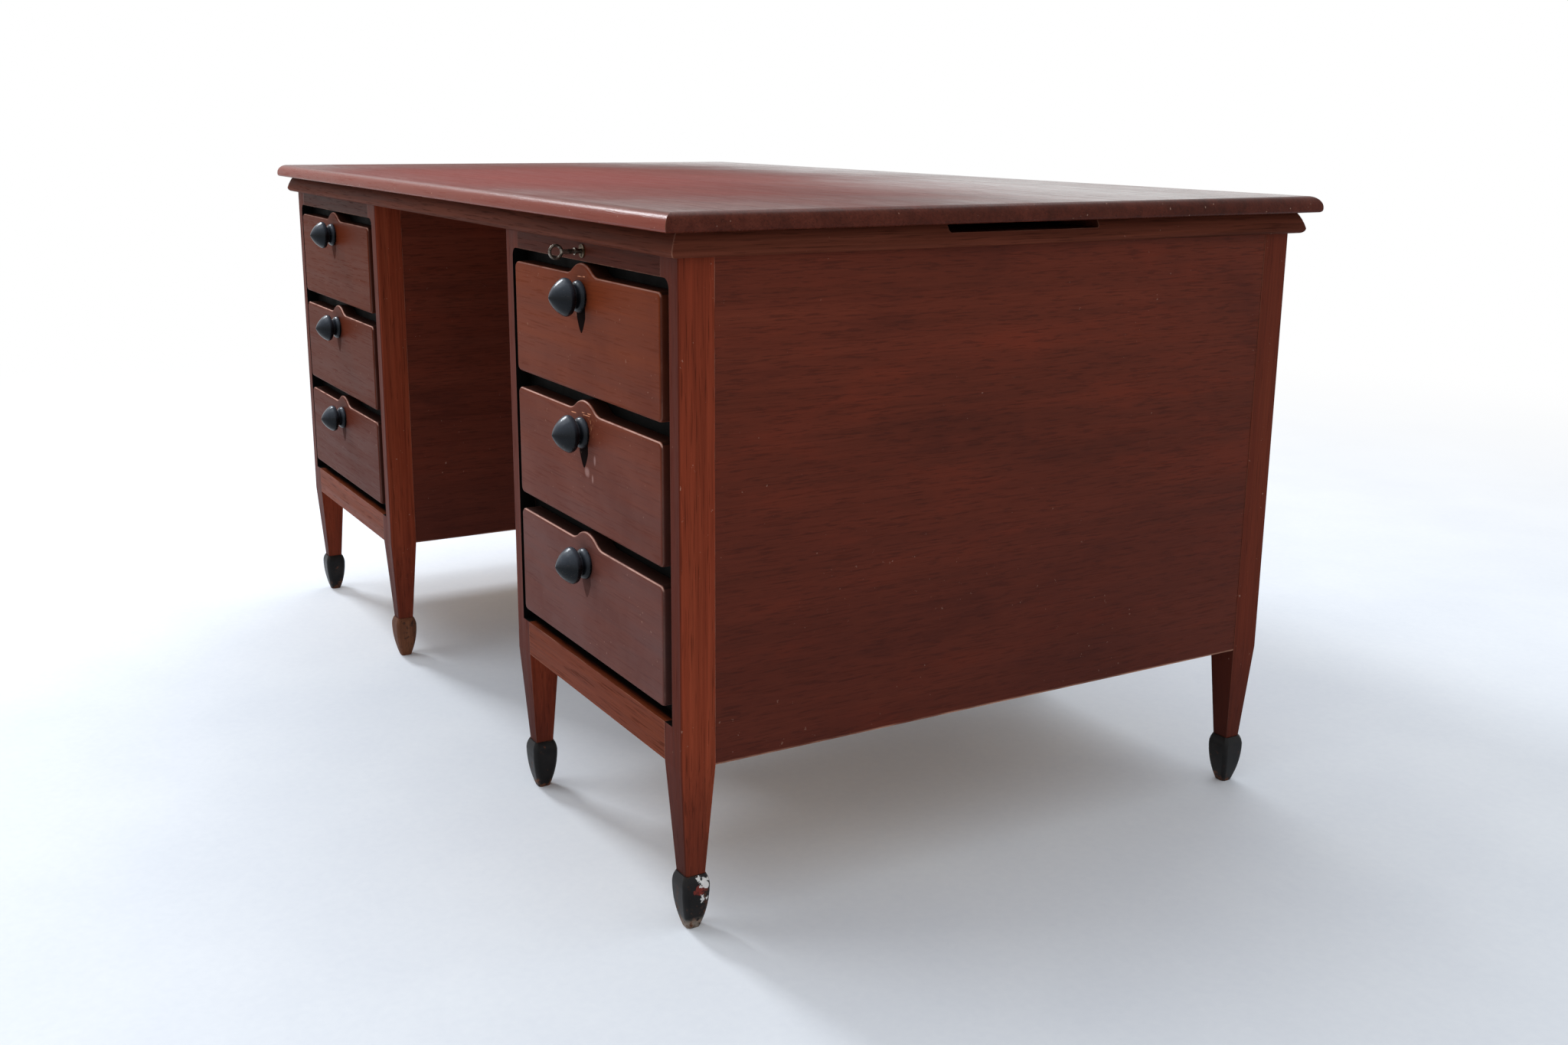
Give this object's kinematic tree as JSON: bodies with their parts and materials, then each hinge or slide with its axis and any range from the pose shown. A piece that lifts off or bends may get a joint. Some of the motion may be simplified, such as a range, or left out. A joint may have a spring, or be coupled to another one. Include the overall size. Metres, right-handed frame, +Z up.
{
  "type": "pedestal desk",
  "caption": "Wooden pedestal desk on tapered legs with dark spade feet, sliding drawers with humped fronts and turned knobs, a kneehole and a keyed drawer lock.",
  "frame": {"origin": "on the floor, under the middle of the whole desk's box, knobs included", "axes": "+X to the sitter's right along the desk, +Y from the drawers to the back, +Z up"},
  "size_m": [1.544, 0.908, 0.77],
  "materials": {
    "top_wood": "polished, worn",
    "moulding_wood": "polished, worn",
    "post_wood": "satin polish",
    "panel_wood": "satin polish",
    "front_wood": "satin polish",
    "inner_wood": "bare",
    "ebonised_wood": "ebonised polish",
    "black_paint": "black paint, worn",
    "brass": "aged",
    "steel": "plain"
  },
  "bodies": {
    "carcass": {"top_board": "top_wood", "moulding_front": "moulding_wood", "moulding_back": "moulding_wood", "moulding_left": "moulding_wood", "moulding_right": "moulding_wood", "leg_left_front_outer": "post_wood", "leg_left_front_inner": "post_wood", "leg_left_back_outer": "post_wood", "leg_left_back_inner": "post_wood", "feet_left": "ebonised_wood", "side_panel_left_outer": "panel_wood", "side_panel_left_inner": "panel_wood", "back_panel_left": "panel_wood", "pedestal_floor_left": "inner_wood", "bottom_rail_left": "post_wood", "top_rail_left": "post_wood", "drawer_frame_left": "black_paint", "drawer_runners_left": "inner_wood", "leg_right_front_outer": "post_wood", "leg_right_front_inner": "post_wood", "leg_right_back_outer": "post_wood", "leg_right_back_inner": "post_wood", "feet_right": "ebonised_wood", "side_panel_right_outer": "panel_wood", "side_panel_right_inner": "panel_wood", "back_panel_right": "panel_wood", "pedestal_floor_right": "inner_wood", "bottom_rail_right": "post_wood", "top_rail_right": "post_wood", "drawer_frame_right": "black_paint", "drawer_runners_right": "inner_wood", "modesty_panel": "panel_wood", "lock_case": "steel", "escutcheon": "brass"},
    "drawer_left_bottom": {"drawer_front_left_bottom": "front_wood", "drawer_box_left_bottom": "inner_wood", "drawer_bottom_left_bottom": "inner_wood", "knob_left_bottom": "ebonised_wood"},
    "drawer_left_middle": {"drawer_front_left_middle": "front_wood", "drawer_box_left_middle": "inner_wood", "drawer_bottom_left_middle": "inner_wood", "knob_left_middle": "ebonised_wood"},
    "drawer_left_top": {"drawer_front_left_top": "front_wood", "drawer_box_left_top": "inner_wood", "drawer_bottom_left_top": "inner_wood", "knob_left_top": "ebonised_wood"},
    "drawer_right_bottom": {"drawer_front_right_bottom": "front_wood", "drawer_box_right_bottom": "inner_wood", "drawer_bottom_right_bottom": "inner_wood", "knob_right_bottom": "ebonised_wood"},
    "drawer_right_middle": {"drawer_front_right_middle": "front_wood", "drawer_box_right_middle": "inner_wood", "drawer_bottom_right_middle": "inner_wood", "knob_right_middle": "ebonised_wood"},
    "drawer_right_top": {"drawer_front_right_top": "front_wood", "drawer_box_right_top": "inner_wood", "drawer_bottom_right_top": "inner_wood", "knob_right_top": "ebonised_wood"},
    "key": {"key": "steel"},
    "lock_bolt": {"lock_bolt": "steel"}
  },
  "joints": [
    {"name": "drawer_left_bottom_slide", "type": "slide", "parent": "carcass", "child": "drawer_left_bottom", "axis": [0, -1, 0], "range_m": [0, 0.45]},
    {"name": "drawer_left_middle_slide", "type": "slide", "parent": "carcass", "child": "drawer_left_middle", "axis": [0, -1, 0], "range_m": [0, 0.45]},
    {"name": "drawer_left_top_slide", "type": "slide", "parent": "carcass", "child": "drawer_left_top", "axis": [0, -1, 0], "range_m": [0, 0.45]},
    {"name": "drawer_right_bottom_slide", "type": "slide", "parent": "carcass", "child": "drawer_right_bottom", "axis": [0, -1, 0], "range_m": [0, 0.45]},
    {"name": "drawer_right_middle_slide", "type": "slide", "parent": "carcass", "child": "drawer_right_middle", "axis": [0, -1, 0], "range_m": [0, 0.45]},
    {"name": "drawer_right_top_slide", "type": "slide", "parent": "carcass", "child": "drawer_right_top", "axis": [0, -1, 0], "range_m": [0, 0.45]},
    {"name": "key_turn", "type": "hinge", "parent": "carcass", "child": "key", "pos_m": [0.511, -0.413, 0.714], "axis": [0, 1, 0], "range_deg": [0, 90]},
    {"name": "bolt_throw", "type": "slide", "parent": "carcass", "child": "lock_bolt", "axis": [0, 0, -1], "range_m": [0, 0.008]}
  ],
  "couplings": [
    {"joint": "bolt_throw", "follows": "key_turn", "m_per_rad": 0.005092}
  ]
}
